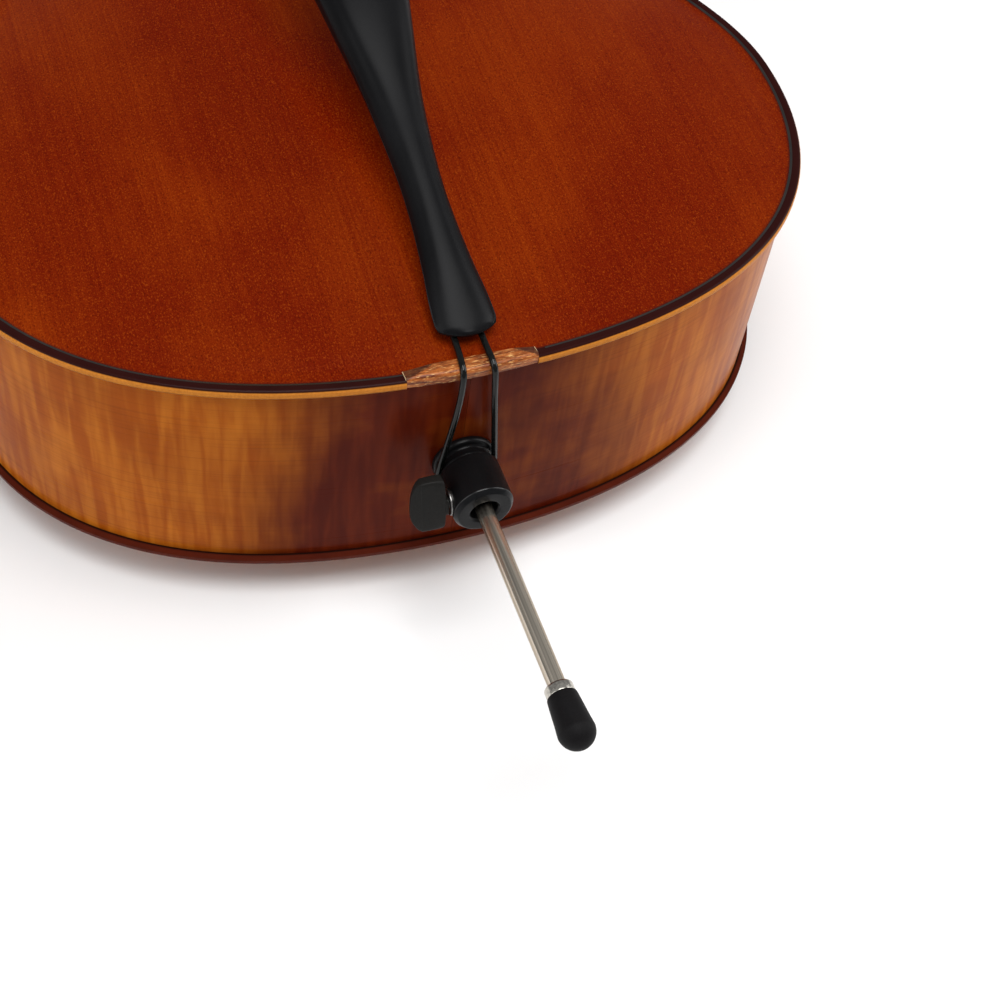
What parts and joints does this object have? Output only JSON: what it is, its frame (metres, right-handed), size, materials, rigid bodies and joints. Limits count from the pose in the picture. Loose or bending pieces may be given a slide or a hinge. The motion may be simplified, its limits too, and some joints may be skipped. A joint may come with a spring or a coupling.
{
  "type": "cello",
  "caption": "Full-size cello with arched belly and back, flamed ribs, scroll, strings, wound pegs, fine tuners and a sliding, clamped endpin.",
  "frame": {"origin": "centre of the bounding box at its lowest point, where the back's arch touches the floor with the cello lying on its back", "axes": "+Y along the cello from the endpin to the scroll, +Z out of the belly, +X to the treble side"},
  "size_m": [0.44, 1.368, 0.2683],
  "materials": {
    "spruce": "glossy red-brown varnish over fine straight grain",
    "maple": "glossy amber to red-brown varnish over flamed maple",
    "bare_wood": "plain unvarnished wood",
    "bridge_maple": "oiled flecked maple",
    "ebony": "satin black",
    "rosewood": "satin dark red-brown",
    "satin_black": "satin black with a worn bright rim",
    "black_composite": "matte black with a fine texture",
    "black_cord": "glossy black sheathed cord",
    "string_steel": "flat-wound metal",
    "nickel": "plated",
    "steel": "drawn rod",
    "dark_steel": "darkened steel",
    "brass": "turned",
    "rubber": "matte black"
  },
  "bodies": {
    "cello": {"belly": "spruce", "back": "maple", "purfling_belly": "ebony", "purfling_back": "ebony", "rib_lower_bass": "maple", "rib_lower_treble": "maple", "rib_middle_bass": "maple", "rib_middle_treble": "maple", "rib_upper_bass": "maple", "rib_upper_treble": "maple", "lining_belly": "bare_wood", "lining_back": "bare_wood", "end_block": "bare_wood", "top_block": "bare_wood", "corner_block_lower_bass": "bare_wood", "corner_block_lower_treble": "bare_wood", "corner_block_upper_bass": "bare_wood", "corner_block_upper_treble": "bare_wood", "bass_bar": "bare_wood", "soundpost": "bare_wood", "neck": "maple", "fingerboard": "ebony", "nut": "ebony", "saddle": "rosewood", "bridge": "bridge_maple", "tailpiece": "black_composite", "tailgut": "black_cord", "tailgut_nut_bass": "brass", "tailgut_nut_treble": "brass", "endpin_plug": "ebony", "endpin_housing": "satin_black", "clamp_bushing": "dark_steel", "string_c": "string_steel", "string_g": "string_steel", "string_d": "string_steel", "string_a": "string_steel"},
    "peg_c": {"peg_c": "ebony"},
    "peg_g": {"peg_g": "ebony"},
    "peg_d": {"peg_d": "ebony"},
    "peg_a": {"peg_a": "ebony"},
    "tuner_lever_c": {"tuner_lever_c": "nickel"},
    "tuner_screw_c": {"tuner_screw_c": "nickel"},
    "tuner_knob_c": {"tuner_knob_c": "nickel"},
    "tuner_lever_g": {"tuner_lever_g": "nickel"},
    "tuner_screw_g": {"tuner_screw_g": "nickel"},
    "tuner_knob_g": {"tuner_knob_g": "nickel"},
    "tuner_lever_d": {"tuner_lever_d": "nickel"},
    "tuner_screw_d": {"tuner_screw_d": "nickel"},
    "tuner_knob_d": {"tuner_knob_d": "nickel"},
    "tuner_lever_a": {"tuner_lever_a": "nickel"},
    "tuner_screw_a": {"tuner_screw_a": "nickel"},
    "tuner_knob_a": {"tuner_knob_a": "nickel"},
    "endpin": {"endpin_rod": "steel", "endpin_ferrule": "nickel", "endpin_tip": "rubber"},
    "clamp_screw": {"clamp_screw": "dark_steel"},
    "clamp_grip": {"clamp_grip": "black_composite"}
  },
  "joints": [
    {"name": "peg_c_turn", "type": "hinge", "parent": "cello", "child": "peg_c", "pos_m": [0, 0.52572, 0.09498], "axis": [-1, 0, 0], "continuous": true},
    {"name": "peg_g_turn", "type": "hinge", "parent": "cello", "child": "peg_g", "pos_m": [0, 0.57876, 0.07679], "axis": [-1, 0, 0], "continuous": true},
    {"name": "peg_d_turn", "type": "hinge", "parent": "cello", "child": "peg_d", "pos_m": [0, 0.60214, 0.07058], "axis": [1, 0, 0], "continuous": true},
    {"name": "peg_a_turn", "type": "hinge", "parent": "cello", "child": "peg_a", "pos_m": [0, 0.55205, 0.08542], "axis": [1, 0, 0], "continuous": true},
    {"name": "tuner_screw_c_lift", "type": "slide", "parent": "cello", "child": "tuner_screw_c", "axis": [0, -0.3134, 0.9496], "range_m": [-0.0018, 0.0004]},
    {"name": "tuner_knob_c_turn", "type": "hinge", "parent": "tuner_screw_c", "child": "tuner_knob_c", "pos_m": [-0.01875, -0.31961, 0.23442], "axis": [0, -0.3134, 0.9496], "range_deg": [-1085, 245]},
    {"name": "tuner_lever_c_rock", "type": "hinge", "parent": "cello", "child": "tuner_lever_c", "pos_m": [-0.01875, -0.30293, 0.23171], "axis": [-1, 0, 0], "range_deg": [-7.2, 1.7]},
    {"name": "tuner_screw_g_lift", "type": "slide", "parent": "cello", "child": "tuner_screw_g", "axis": [0, -0.3134, 0.9496], "range_m": [-0.0018, 0.0004]},
    {"name": "tuner_knob_g_turn", "type": "hinge", "parent": "tuner_screw_g", "child": "tuner_knob_g", "pos_m": [-0.00625, -0.32043, 0.23688], "axis": [0, -0.3134, 0.9496], "range_deg": [-1085, 245]},
    {"name": "tuner_lever_g_rock", "type": "hinge", "parent": "cello", "child": "tuner_lever_g", "pos_m": [-0.00625, -0.30374, 0.23417], "axis": [-1, 0, 0], "range_deg": [-7.2, 1.7]},
    {"name": "tuner_screw_d_lift", "type": "slide", "parent": "cello", "child": "tuner_screw_d", "axis": [0, -0.3134, 0.9496], "range_m": [-0.0018, 0.0004]},
    {"name": "tuner_knob_d_turn", "type": "hinge", "parent": "tuner_screw_d", "child": "tuner_knob_d", "pos_m": [0.00625, -0.32043, 0.23688], "axis": [0, -0.3134, 0.9496], "range_deg": [-1085, 245]},
    {"name": "tuner_lever_d_rock", "type": "hinge", "parent": "cello", "child": "tuner_lever_d", "pos_m": [0.00625, -0.30374, 0.23417], "axis": [-1, 0, 0], "range_deg": [-7.2, 1.7]},
    {"name": "tuner_screw_a_lift", "type": "slide", "parent": "cello", "child": "tuner_screw_a", "axis": [0, -0.3134, 0.9496], "range_m": [-0.0018, 0.0004]},
    {"name": "tuner_knob_a_turn", "type": "hinge", "parent": "tuner_screw_a", "child": "tuner_knob_a", "pos_m": [0.01875, -0.31961, 0.23442], "axis": [0, -0.3134, 0.9496], "range_deg": [-1085, 245]},
    {"name": "tuner_lever_a_rock", "type": "hinge", "parent": "cello", "child": "tuner_lever_a", "pos_m": [0.01875, -0.30293, 0.23171], "axis": [-1, 0, 0], "range_deg": [-7.2, 1.7]},
    {"name": "endpin_slide", "type": "slide", "parent": "cello", "child": "endpin", "axis": [0, -1, 0], "range_m": [-0.0935, 0.25]},
    {"name": "clamp_screw_lift", "type": "slide", "parent": "cello", "child": "clamp_screw", "axis": [-1, 0, 0], "range_m": [0, 0.002]},
    {"name": "clamp_grip_turn", "type": "hinge", "parent": "clamp_screw", "child": "clamp_grip", "pos_m": [-0.0231, -0.5483, 0.0885], "axis": [-1, 0, 0], "range_deg": [0, 721]}
  ],
  "couplings": [
    {"joint": "tuner_knob_c_turn", "follows": "tuner_screw_c_lift", "rad_per_m": 10472},
    {"joint": "tuner_lever_c_rock", "follows": "tuner_screw_c_lift", "rad_per_m": 66.667},
    {"joint": "tuner_knob_g_turn", "follows": "tuner_screw_g_lift", "rad_per_m": 10472},
    {"joint": "tuner_lever_g_rock", "follows": "tuner_screw_g_lift", "rad_per_m": 66.667},
    {"joint": "tuner_knob_d_turn", "follows": "tuner_screw_d_lift", "rad_per_m": 10472},
    {"joint": "tuner_lever_d_rock", "follows": "tuner_screw_d_lift", "rad_per_m": 66.667},
    {"joint": "tuner_knob_a_turn", "follows": "tuner_screw_a_lift", "rad_per_m": 10472},
    {"joint": "tuner_lever_a_rock", "follows": "tuner_screw_a_lift", "rad_per_m": 66.667},
    {"joint": "clamp_grip_turn", "follows": "clamp_screw_lift", "rad_per_m": 6283.2}
  ]
}
